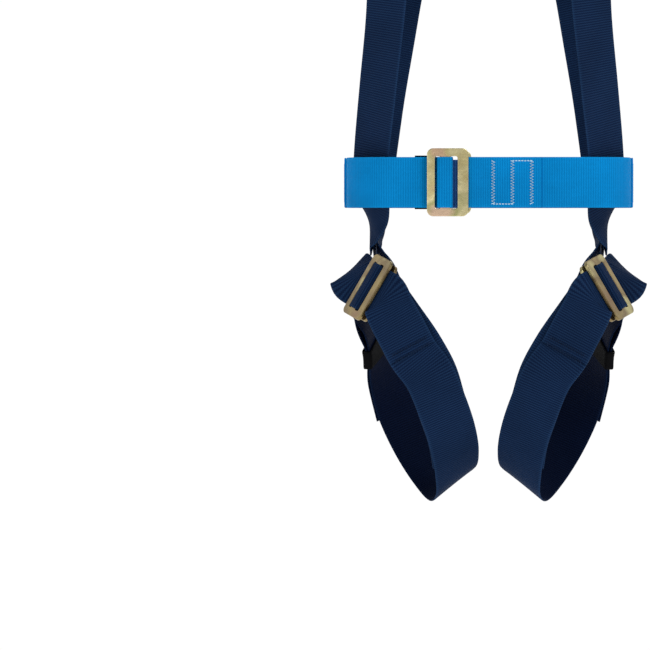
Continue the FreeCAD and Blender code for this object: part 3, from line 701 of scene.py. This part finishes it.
for side, sign in (("left", 1), ("right", -1)):
    lap = on_strap(shifted(LEG_FRONT[:LAP_STATIONS + 1], LAYER, LEG_LAP_SHIFT), 2, WEB_T / 2 + 0.15)
    seam = Place(V(BELT_HALF + WEB_T / 2 + 0.1, 0, 0), V(0, 1, 0), V(0, 0, 1))
    for name, place, ps, nodes, material in (
            ("thread_leg_tacks_", lap, (-6.0, 0.0), ["leg_stitching_" + side], NAVY_THREAD),
            ("thread_side_tacks_", seam, (-36.0, -26.0, -16.0, -6.0),
             ["side_stitching_" + side], PALE_THREAD)):
        rows = [zigzag(place, p, 0.05, 34.0) for p in ps]
        rows = [[V(sign * at.x, at.y, at.z) for at in row] for row in rows]
        stitched(name + side, rows, nodes, material)


# ---------------------------------------------------------------- leg keepers
def keeper_sleeve(name, line, inner, outer, half, thick, material):
    """An elastic sleeve that follows the strap inside it, with round corners and its own thickness."""
    corner = 1.6

    def loop(grow):
        w, lo, hi, r = half + grow, inner - grow, outer + grow, corner + grow
        centres = [(w - r, hi - r, 0), (-w + r, hi - r, 90), (-w + r, lo + r, 180), (w - r, lo + r, 270)]
        points = []
        for a, b, start in centres:
            points += arc((a, b), r, start, start + 90, 5)
        return points

    bm = bmesh.new()
    uv = bm.loops.layers.uv.new("UVMap")
    shells = []
    for grow in (thick, 0.0):
        shell = []
        for i, (centre, w) in enumerate(line):
            ahead = unit(line[min(i + 1, len(line) - 1)][0] - line[max(i - 1, 0)][0])
            across = unit(w - ahead * w.dot(ahead))
            out = ahead.cross(across)
            slim = 0.25 if grow and i in (0, len(line) - 1) else 0.0
            shell.append([bm.verts.new((centre + across * a + out * b) * MM) for a, b in loop(grow - slim)])
        shells.append(shell)
    count = len(shells[0][0])

    def quad(a, b, c, d, at):
        face = bm.faces.new((a, b, c, d))
        face.smooth = True
        for one, spot in zip(face.loops, at):
            one[uv].uv = spot

    for shell in shells:
        for i in range(len(line) - 1):
            for j in range(count):
                k = (j + 1) % count
                corners = ((i, j), (i + 1, j), (i + 1, j + 1), (i, j + 1))
                at = [(r * 2.2 * MM, c * 5.0 * MM) for r, c in corners]
                quad(shell[i][j], shell[i + 1][j], shell[i + 1][k], shell[i][k], at)
    for i in (0, len(line) - 1):
        for j in range(count):
            k = (j + 1) % count
            quad(shells[0][i][j], shells[0][i][k], shells[1][i][k], shells[1][i][j], [(0, 0)] * 4)
    bmesh.ops.recalc_face_normals(bm, faces=bm.faces)
    mesh = bpy.data.meshes.new(name)
    bm.to_mesh(mesh)
    bm.free()
    mesh.materials.append(material)
    piece = bpy.data.objects.new(name, mesh)
    bpy.context.scene.collection.objects.link(piece)
    return piece


KEEPER_T = 0.9          # the elastic's thickness
KEEPER_SIDE = 1.2       # its play beside the strap,
KEEPER_UNDER = 1.0      # under the strap,
KEEPER_OVER = 1.9       # and over the loose end
KEEPER_BEFORE = 7       # the stations its sleeve takes before its middle
KEEPER_AFTER = 4        # and after it
REAR_LINE = sections(LEG_REAR, 2.0)
KEEPER_AT = min(range(len(REAR_LINE)), key=lambda i: (REAR_LINE[i][0] - LEG_REAR[-2][0]).length)
for side, turned in (("left", list), ("right", mirrored)):
    line = turned(REAR_LINE[KEEPER_AT - KEEPER_BEFORE:KEEPER_AT + KEEPER_AFTER])
    inner, outer = -WEB_T / 2 - KEEPER_UNDER, TAIL_WAY[1][1] + WEB_T / 2 + KEEPER_OVER
    if side == "right":
        inner, outer = -outer, -inner
    sleeve = keeper_sleeve("keeper_" + side, line, inner, outer, WEB_W / 2 + KEEPER_SIDE, KEEPER_T, ELASTIC)
    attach(sleeve, "leg_keeper_" + side)
    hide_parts("leg_keeper_" + side)


# ---------------------------------------------------------------- CAD pieces that stay
def dress(node, material):
    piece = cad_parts[node]
    piece.data.materials.clear()
    piece.data.materials.append(material)
    for polygon in piece.data.polygons:
        polygon.material_index = 0


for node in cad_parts:
    # The leg sliders and rings get the darker copy of the yellow zinc, painted shade.
    if node.startswith(("leg_slider", "leg_ring")):
        dress(node, LEG_ZINC_SHADED)
    elif "slider" in node or node in ("belt_ring", "chest_ring"):
        dress(node, ZINC)
    elif "keeper" in node:
        dress(node, ELASTIC)
dress("dorsal_ring", STEEL)
dress("dorsal_pad", PAD)


# ---------------------------------------------------------------- camera and lights
PIXEL = 0.87 * MM       # what one pixel covers on the front of the belt
AIM = V(-0.142, -0.086, -0.124)
EYE = V(0.0, -3.65, -0.03)
AIR_BEHIND = 1.02       # the air's light from behind the wearer and from below
AIR_IN_FRONT = 0.34     # and from in front and above
AIR_BLEND = 0.3         # how gently one turns into the other


def white_air():
    """A studio's even white light: full white behind the wearer and below, and dimmer in front and above."""
    world = bpy.data.worlds.new("studio_air")
    world.use_nodes = True
    nodes, links = world.node_tree.nodes, world.node_tree.links
    way = nodes.new("ShaderNodeSeparateXYZ")
    links.new(nodes.new("ShaderNodeTexCoord").outputs["Generated"], way.inputs[0])
    below = nodes.new("ShaderNodeMath")
    below.operation = "MULTIPLY"
    below.inputs[1].default_value = -1.3
    links.new(way.outputs["Z"], below.inputs[0])
    white = nodes.new("ShaderNodeMath")
    white.operation = "MAXIMUM"
    links.new(way.outputs["Y"], white.inputs[0])
    links.new(below.outputs[0], white.inputs[1])
    level = nodes.new("ShaderNodeMapRange")
    level.interpolation_type = "SMOOTHSTEP"
    for name, value in (("From Min", -AIR_BLEND), ("From Max", AIR_BLEND),
                        ("To Min", AIR_IN_FRONT), ("To Max", AIR_BEHIND)):
        level.inputs[name].default_value = value
    links.new(white.outputs[0], level.inputs["Value"])
    nodes["Background"].inputs["Color"].default_value = (1, 1, 1, 1)
    links.new(level.outputs[0], nodes["Background"].inputs["Strength"])
    bpy.context.scene.world = world


def look(target_object, at, to):
    target_object.location = at
    target_object.rotation_euler = (Vector(to) - Vector(at)).to_track_quat("-Z", "Y").to_euler()


def lamp(name, at, to, power, size):
    data = bpy.data.lights.new(name, "AREA")
    data.energy = power
    data.size = size
    light = bpy.data.objects.new(name, data)
    bpy.context.scene.collection.objects.link(light)
    look(light, at, to)


white_air()
camera_data = bpy.data.cameras.new("camera")
camera = bpy.data.objects.new("camera", camera_data)
bpy.context.scene.collection.objects.link(camera)
look(camera, EYE, AIM)
camera_data.sensor_width = 36
camera_data.lens = 36 * (AIM - EYE).length / (650 * PIXEL)
bpy.context.scene.camera = camera

middle = (0, 0, 0.05)
lamp("key", (1.2, -2.4, 1.8), middle, 30, 0.8)
lamp("fill", (-2.0, -2.6, 0.4), middle, 7, 1.6)
lamp("rear", (0.4, 2.0, 1.6), middle, 14, 1.4)
bpy.context.scene.view_settings.view_transform = "Standard"
